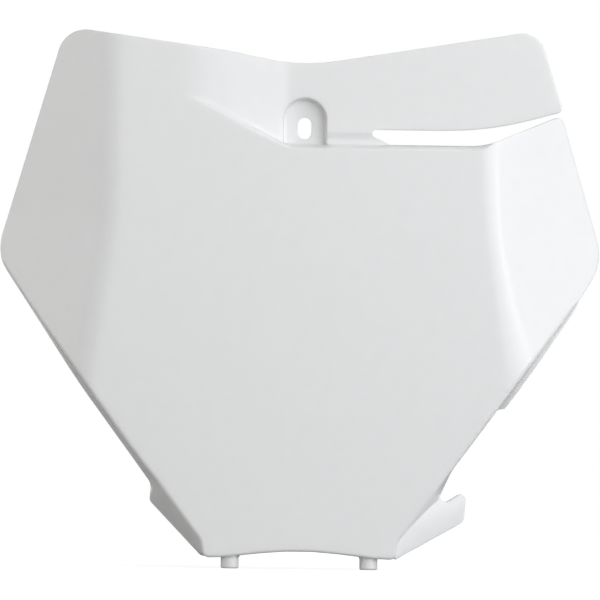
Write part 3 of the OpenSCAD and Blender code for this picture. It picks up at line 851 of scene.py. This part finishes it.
def to_frame(points):
    """From millimetres behind the face to the part's frame in metres."""
    return (points - np.array([0, POCKET_Y, 0])) / 1000


def ring_quads(numbers):
    """Quads over a grid of vertex numbers, whose stations close in a ring."""
    after = np.roll(numbers, -1, axis=0)
    quads = np.stack([numbers[:, :-1], after[:, :-1], after[:, 1:], numbers[:, 1:]], axis=2)
    return [tuple(q) for q in quads.reshape(-1, 4)]


def join_moulding():
    """All vertices in the part's frame, and all faces."""
    verts = [front_xyz, back_xyz]
    nf, nb = len(front_xyz), len(back_xyz)
    faces = [tuple(t) for t in front_tri] + [tuple(t[::-1] + nf) for t in back_tri]
    start, loop_base = nf + nb, 0
    for strip in (band, hole_band):
        count, rows = strip.shape[:2]
        verts.append(strip[:, 1:-1].reshape(-1, 3))
        # numbers[k, j] is the vertex of station k and row j; the end rows are the sheets'
        numbers = np.zeros((count, rows), int)
        numbers[:, 0] = loop_base + np.arange(count)
        numbers[:, -1] = nf + numbers[:, 0]
        numbers[:, 1:-1] = start + np.arange(count * (rows - 2)).reshape(count, -1)
        faces += ring_quads(numbers)
        start += len(verts[-1])
        loop_base += count
    return to_frame(np.concatenate(verts)), faces


def add_object(name, data):
    obj = bpy.data.objects.new(name, data)
    bpy.context.scene.collection.objects.link(obj)
    return obj


def make_object(name, verts, faces):
    mesh = bpy.data.meshes.new(name)
    mesh.from_pydata([tuple(map(float, v)) for v in verts], [],
                     [tuple(map(int, f)) for f in faces])
    if mesh.validate(verbose=False):
        print(name, "had faces that needed mending")
    return add_object(name, mesh)


def open_edges(obj):
    """Edges that don't join two faces. A closed mesh has none."""
    uses = Counter(key for poly in obj.data.polygons for key in poly.edge_keys)
    return sum(count != 2 for count in uses.values())


verts, faces = join_moulding()
board = make_object("number_board_visual", verts, faces)
print("board", len(verts), "vertices", len(faces), "faces,", open_edges(board), "open edges")

# %% [markdown]
# ## Hose hook
# The hook is a flat plate in a tilted plane. Its outline comes from the front view, is laid
# into that plane, and gets a rounded rim all the way round.

# %% Hook plate
hook_a = np.array([HOOK_REACH - 11.5, HOOK_DEPTH, above_foot(29.5)])
hook_b = np.array([FOOT_HALF + 2.6, 3.0, above_foot(9.3)])
hook_c = np.array([FOOT_HALF + 0.6, 2.6, -FOOT_DROP])
hook_u = unit(hook_a - hook_b)
hook_w = unit(np.cross(hook_u, hook_c - hook_b))
hook_w *= np.sign(hook_w[1])
hook_v = np.cross(hook_w, hook_u)
THROAT = (HOOK_REACH - 11.2, above_foot(23.9))
PLATE_RIM_R = 0.6
hook_corners = [
    (THROAT[0] - 1.8, THROAT[1] + 5.1, 0), (THROAT[0], THROAT[1] + 5.1, 0),
    (*THROAT, THROAT_R), (HOOK_REACH + 0.4, above_foot(31.3), 2.3),
    (HOOK_REACH - 0.6, above_foot(17.1), 4), (FOOT_HALF + 0.6, -FOOT_DROP, 0),
    (FOOT_HALF - 0.3, above_foot(0.9), 0), (FOOT_HALF + 0.2, above_foot(8.4), 0)]


def on_hook_plane(p):
    """The point of the plate's plane that is seen at p, in its own coordinates."""
    dx, dz = p[0] - hook_b[0], p[1] - hook_b[2]
    d = np.array([dx, -(dx * hook_w[0] + dz * hook_w[2]) / hook_w[1], dz])
    return np.array([d @ hook_u, d @ hook_v])


def plate_mesh():
    """The plate as points in millimetres and faces, with a rounded rim."""
    loop = resampled(rounded_path(hook_corners, closed=True, step=6), 1.5, closed=True)
    # turned round, because the plane is seen from its other side
    loop = np.array([on_hook_plane(p) for p in loop[::-1]])
    r, turns = PLATE_RIM_R, np.radians(np.linspace(0, 90, 6))
    rings = [(loop - outward(loop) * r * (1 - math.sin(q)), r - r * math.cos(q)) for q in turns]
    rings += [(ring, WALL - h) for ring, h in rings[::-1]]
    pts = [hook_b + hook_u * a + hook_v * b + hook_w * h for ring, h in rings for a, b in ring]
    numbers = np.arange(len(pts)).reshape(len(rings), -1).T
    faces = ring_quads(numbers) + [tuple(numbers[::-1, 0]), tuple(numbers[:, -1])]
    return np.array(pts), faces


plate_points, hook_faces = plate_mesh()
hook = make_object("hook_plate", to_frame(plate_points), hook_faces)
print("hook open edges", open_edges(hook))

# %% [markdown]
# ## Finish
# The board is glossy white polypropylene. Its finish comes from a faint mottle in roughness,
# a very fine surface grain, and a slow waviness where the moulding has shrunk.

# %% Plastic
def node(tree, kind, settings=(), **values):
    """A node whose inputs are set to values or linked to other nodes' outputs."""
    n = tree.nodes.new(kind)
    for key, value in dict(settings).items():
        setattr(n, key, value)
    for key, value in values.items():
        socket = n.inputs[key.replace("_", " ")]
        if isinstance(value, bpy.types.NodeSocket):
            tree.links.new(value, socket)
        else:
            socket.default_value = value
    n.location = (230 * (len(tree.nodes) // 3), -300 * (len(tree.nodes) % 3))
    return n


def noise(tree, where, scale, detail):
    n = node(tree, "ShaderNodeTexNoise", Vector=where, Scale=scale, Detail=detail)
    return n.outputs["Fac"]


def white_plastic():
    mat = bpy.data.materials.new("glossy white polypropylene")
    mat.use_nodes = True
    tree = mat.node_tree
    tree.nodes.clear()
    where = node(tree, "ShaderNodeTexCoord").outputs["Object"]
    mottle = noise(tree, where, 150.0, 6.0)
    rough = node(tree, "ShaderNodeMapRange", Value=mottle, To_Min=0.19, To_Max=0.25)
    tint = node(tree, "ShaderNodeMix", {"data_type": "RGBA"}, Factor=mottle,
                A=(0.80, 0.80, 0.80, 1), B=(0.83, 0.831, 0.832, 1))
    slow = node(tree, "ShaderNodeBump", Strength=0.1, Distance=0.0005,
                Height=noise(tree, where, 24.0, 0.0))
    fine = node(tree, "ShaderNodeBump", Strength=0.05, Distance=0.0001,
                Height=noise(tree, where, 900.0, 2.0), Normal=slow.outputs["Normal"])
    skin = node(tree, "ShaderNodeBsdfPrincipled", IOR=1.49,
                Base_Color=tint.outputs["Result"], Roughness=rough.outputs["Result"],
                Normal=fine.outputs["Normal"])
    node(tree, "ShaderNodeOutputMaterial", Surface=skin.outputs["BSDF"])
    return mat


plastic = white_plastic()
print("plastic with", len(plastic.node_tree.nodes), "nodes")

# %% [markdown]
# ## Pins and gussets
# Both locating pins and the gussets over them repeat across the centre line, so a node tree
# makes one of each and sets it on two points.

# %% Pins by nodes
def start_tree(title, names):
    """A tree with a number input for each name, and their sockets."""
    tree = bpy.data.node_groups.new(title, "GeometryNodeTree")
    for name in names:
        tree.interface.new_socket(name=name, in_out="INPUT", socket_type="NodeSocketFloat")
    start = node(tree, "NodeGroupInput")
    return tree, {name: start.outputs[name] for name in names}


def maths(op, a, b=None):
    """One sum in the tree that the socket a belongs to."""
    n = node(a.id_data, "ShaderNodeMath", {"operation": op})
    for i, v in enumerate((a, b)):
        if isinstance(v, (int, float)):
            n.inputs[i].default_value = v
        elif v is not None:
            a.id_data.links.new(v, n.inputs[i])
    return n.outputs[0]


def vector(tree, **parts):
    return node(tree, "ShaderNodeCombineXYZ", **parts).outputs[0]


def position(tree):
    """The coordinates of each point, as sockets."""
    place = node(tree, "GeometryNodeInputPosition").outputs[0]
    return node(tree, "ShaderNodeSeparateXYZ", Vector=place).outputs


def finish_tree(tree, shape, spacing, depth, height):
    """Sets the shape on two points across the centre line, in the plastic."""
    start = vector(tree, X=maths("MULTIPLY", spacing, -0.5), Y=depth, Z=height)
    line = node(tree, "GeometryNodeMeshLine", {"mode": "OFFSET"}, Count=2,
                Start_Location=start, Offset=vector(tree, X=spacing))
    put = node(tree, "GeometryNodeInstanceOnPoints", Points=line.outputs[0], Instance=shape)
    real = node(tree, "GeometryNodeRealizeInstances", Geometry=put.outputs[0])
    paint = node(tree, "GeometryNodeSetMaterial", Geometry=real.outputs[0], Material=plastic)
    tree.interface.new_socket(name="Geometry", in_out="OUTPUT",
                              socket_type="NodeSocketGeometry")
    node(tree, "NodeGroupOutput", Geometry=paint.outputs[0])
    return tree


def pin_radius(tree, v):
    """Radius along a pin: rounded at its tip, and a little wider on its seat."""
    height, tip = position(tree)["Z"], v["Tip radius"]
    under = maths("MAXIMUM", maths("SUBTRACT", tip, height), 0.0)
    square = maths("SUBTRACT", maths("MULTIPLY", tip, tip), maths("MULTIPLY", under, under))
    bulge = maths("SQRT", maths("MAXIMUM", square, 0.0))
    plain = maths("ADD", maths("SUBTRACT", v["Radius"], tip), bulge)
    seat = node(tree, "ShaderNodeMapRange", Value=height, From_Min=v["Seat height"],
                From_Max=maths("ADD", v["Seat height"], SEAT_EASE), To_Min=v["Radius"],
                To_Max=v["Seat radius"])
    return maths("ADD", plain, maths("SUBTRACT", seat.outputs["Result"], v["Radius"]))


SEAT_EASE = 0.0002


def pin_tree():
    tree, v = start_tree("locating pins", (
        "Spacing", "Depth", "Tip height", "Radius", "Tip radius", "Length", "Seat radius",
        "Seat height"))
    line = node(tree, "GeometryNodeCurvePrimitiveLine", End=vector(tree, Z=v["Length"]))
    rings = node(tree, "GeometryNodeResampleCurve", Curve=line.outputs["Curve"], Count=72)
    ring = node(tree, "GeometryNodeCurvePrimitiveCircle", Resolution=56, Radius=1.0)
    solid = node(tree, "GeometryNodeCurveToMesh", Curve=rings.outputs["Curve"],
                 Profile_Curve=ring.outputs["Curve"], Scale=pin_radius(tree, v), Fill_Caps=True)
    return finish_tree(tree, solid.outputs["Mesh"], v["Spacing"], v["Depth"], v["Tip height"])


def gusset_tree():
    """A cube whose corners are moved: thin, and lower behind than in front."""
    tree, v = start_tree("gussets", (
        "Spacing", "Front", "Base height", "Thickness", "Reach", "Front height", "Rear height"))
    box = node(tree, "GeometryNodeMeshCube", Size=vector(tree, X=v["Thickness"], Y=1.0, Z=1.0))
    xyz = position(tree)
    back = maths("ADD", xyz["Y"], 0.5)
    top = maths("ADD", xyz["Z"], 0.5)
    fall = maths("MULTIPLY", back, maths("SUBTRACT", v["Front height"], v["Rear height"]))
    rise = maths("MULTIPLY", top, maths("SUBTRACT", v["Front height"], fall))
    spot = vector(tree, X=xyz["X"], Y=maths("MULTIPLY", back, v["Reach"]), Z=rise)
    move = node(tree, "GeometryNodeSetPosition", Geometry=box.outputs["Mesh"], Position=spot)
    return finish_tree(tree, move.outputs[0], v["Spacing"], v["Front"], v["Base height"])


def evaluated_mesh(obj):
    """What the modifiers make of obj, as a plain mesh."""
    graph = bpy.context.evaluated_depsgraph_get()
    mesh = bpy.data.meshes.new_from_object(obj.evaluated_get(graph))
    obj.modifiers.clear()
    return mesh


def run_tree(tree, name, values):
    """The object that a tree makes from values in millimetres."""
    holder = add_object(name + "_maker", bpy.data.meshes.new(name + "_maker"))
    mod = holder.modifiers.new("nodes", "NODES")
    mod.node_group = tree
    for item in tree.interface.items_tree:
        if item.in_out == "INPUT":
            mod[item.identifier] = float(values[item.name]) * MM
    mesh = evaluated_mesh(holder)
    bpy.data.objects.remove(holder)
    return add_object(name, mesh)


MM = 0.001
PIN_X = PIN_SPACING / 2
PIN_Y = FOOT_DEPTH / 2 + 0.6
ROOT_Z = float(np.interp(PIN_X, *ARCH_PATH.T)) + WALL / 2
SEAT_Z = ARCH_END_Z - 0.2
pins = run_tree(pin_tree(), "pins", {
    "Spacing": PIN_SPACING, "Depth": PIN_Y - POCKET_Y, "Tip height": -PIN_DROP,
    "Radius": PIN_D / 2, "Tip radius": 0.8, "Length": ROOT_Z + PIN_DROP,
    "Seat radius": PIN_D / 2 + 0.35, "Seat height": SEAT_Z + PIN_DROP})
gussets = run_tree(gusset_tree(), "gussets", {
    "Spacing": PIN_SPACING, "Front": WALL / 2 - POCKET_Y, "Base height": ROOT_Z,
    "Thickness": GUSSET_T, "Reach": FOOT_DEPTH - 0.8 - WALL / 2,
    "Front height": FOOT_DEPTH + 2, "Rear height": 2.5})
for obj in (pins, gussets):
    print(obj.name, len(obj.data.vertices), "vertices, open edges", open_edges(obj))

# %% [markdown]
# ## One moulded piece
# The plate, pins and gussets are united with the board, so that the visual model is one
# closed skin, as the real moulding is.

# %% Union
def unite(target, other):
    mod = target.modifiers.new("unite", "BOOLEAN")
    mod.operation = "UNION"
    mod.object = other
    mod.solver = "MANIFOLD"
    old, target.data = target.data, evaluated_mesh(target)
    bpy.data.meshes.remove(old)
    bpy.data.objects.remove(other)


for other in (hook, pins, gussets):
    print("uniting", other.name)
    unite(board, other)
    print(len(board.data.polygons), "faces, open edges", open_edges(board))

mesh = board.data
mesh.materials.clear()
mesh.materials.append(plastic)
for poly in mesh.polygons:
    poly.use_smooth = True
    poly.material_index = 0
mesh.set_sharp_from_angle(angle=math.radians(42))
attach(board, "root")
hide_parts("number_board")

# %% [markdown]
# ## Stage, light and camera
# The photograph shows the board on pure white, so the floor and the sky look white to the
# camera only, and light the board much less. Large soft lights stand round it: the strongest
# ones from the front right, weaker ones from the front, above and the left, and faint ones
# behind, which the skirts reflect at their grazing angle.

# %% Stage
FLOOR_GAP = 0.0002
FLOOR_HALF, FLOOR_GREY, FLOOR_GLOW = 1.2, (0.46, 0.46, 0.46, 1), 0.75
WHITE = (1, 1, 1, 1)


def pale(name):
    """A matt surface that returns little light but looks as pale as an overlit floor."""
    mat = bpy.data.materials.new(name)
    mat.use_nodes = True
    tree = mat.node_tree
    skin = tree.nodes["Principled BSDF"].inputs
    skin["Base Color"].default_value = FLOOR_GREY
    skin["Roughness"].default_value = 0.9
    skin["Emission Color"].default_value = WHITE
    seen = node(tree, "ShaderNodeLightPath").outputs["Is Camera Ray"]
    tree.links.new(maths("MULTIPLY", seen, FLOOR_GLOW), skin["Emission Strength"])
    return mat


floor_z = -PIN_DROP * MM - FLOOR_GAP
floor = make_object("floor", [(x * FLOOR_HALF, y * FLOOR_HALF, floor_z)
                              for x, y in ((-1, -1), (1, -1), (1, 1), (-1, 1))], [(0, 1, 2, 3)])
floor.data.materials.append(pale("pale floor"))

# %% Lights
# name, azimuth (90 is at the right), elevation, distance, width, height, watts, colour
LIGHTS = [
    ("front", 0, 12, 1.8, 1.0, 1.0, 3.0, (1.0, 0.99, 0.95)),
    ("front right", 28, 12, 1.6, 1.0, 1.2, 8.5, (0.97, 0.98, 1.0)),
    ("right", 50, 10, 1.6, 1.3, 1.3, 6.1, (0.91, 0.95, 1.0)),
    ("right strip", 48, 6, 1.8, 0.3, 0.7, 2.5),
    ("side key", 75, 10, 1.6, 1.2, 1.2, 4.9, (0.96, 0.98, 1.0)),
    ("high key", 50, 45, 1.6, 1.0, 1.0, 1.2),
    ("high front", 0, 65, 1.5, 1.4, 1.2, 1.0),
    ("top", 0, 82, 1.5, 1.4, 0.6, 3.6),
    ("left side", -75, 10, 1.6, 1.2, 1.2, 5.2, (1.0, 0.97, 0.94)),
    ("left edge", -100, -5, 1.6, 1.2, 1.0, 6.0, (1.0, 0.98, 0.95)),
    ("rear", 180, 12, 1.6, 1.3, 1.3, 5.0),
    ("rear card", 162, -3, 0.62, 0.7, 0.18, 0.27)]
AIM = Vector((0, 0, -0.08))


def area_light(name, azimuth, elevation, distance, width, height, power, colour=(1, 1, 1)):
    """A soft rectangle that faces the middle of the board."""
    data = bpy.data.lights.new(name, "AREA")
    data.shape = "RECTANGLE"
    data.size, data.size_y = width, height
    data.energy, data.color = power, colour
    obj = add_object(name, data)
    a, e = math.radians(azimuth), math.radians(elevation)
    away = Vector((math.sin(a) * math.cos(e), -math.cos(a) * math.cos(e), math.sin(e)))
    obj.location = AIM + away * distance
    obj.rotation_mode = "QUATERNION"
    obj.rotation_quaternion = away.to_track_quat("Z", "Y")


for light in LIGHTS:
    area_light(*light)
print(len(LIGHTS), "lights,", round(sum(light[6] for light in LIGHTS), 1), "W in all")

# %% World
WORLD_FRONT, WORLD_BACK = 0.22, 0.05
world = bpy.data.worlds.new("studio")
world.use_nodes = True
bpy.context.scene.world = world
tree = world.node_tree
tree.nodes.clear()
toward = node(tree, "ShaderNodeSeparateXYZ",
              Vector=node(tree, "ShaderNodeTexCoord").outputs["Generated"])
front_share = node(tree, "ShaderNodeMapRange", {"interpolation_type": "SMOOTHSTEP"},
                   Value=toward.outputs["Y"], From_Min=-0.35, From_Max=0.25,
                   To_Min=WORLD_FRONT, To_Max=WORLD_BACK)
sky = node(tree, "ShaderNodeBackground", Color=WHITE, Strength=front_share.outputs["Result"])
seen = node(tree, "ShaderNodeBackground", Color=WHITE, Strength=1.0)
choose = node(tree, "ShaderNodeMixShader", Fac=node(tree, "ShaderNodeLightPath").outputs[0])
tree.links.new(sky.outputs[0], choose.inputs[1])
tree.links.new(seen.outputs[0], choose.inputs[2])
node(tree, "ShaderNodeOutputWorld", Surface=choose.outputs[0])
bpy.context.scene.view_settings.view_transform = "Standard"

# %% [markdown]
# The photograph has almost no perspective, so the camera stands far off with a long lens. It
# is rolled by the same small angle as the photograph.

# %% Camera
CAMERA_AWAY, CAMERA_X, CAMERA_Z = 8.0, -0.00109, -0.0764
FRAME_WIDTH, SENSOR = 0.26676, 36
ROLL = math.radians(0.75)
cam_data = bpy.data.cameras.new("camera")
cam = add_object("camera", cam_data)
cam_data.sensor_width = SENSOR
cam_data.lens = SENSOR * CAMERA_AWAY / FRAME_WIDTH
cam_data.clip_start, cam_data.clip_end = 0.1, 40
cam.location = (CAMERA_X, -POCKET_Y * MM - CAMERA_AWAY, CAMERA_Z)
cam.rotation_euler = (math.pi / 2, -ROLL, 0)
bpy.context.scene.camera = cam
print("lens", round(cam_data.lens), "mm")
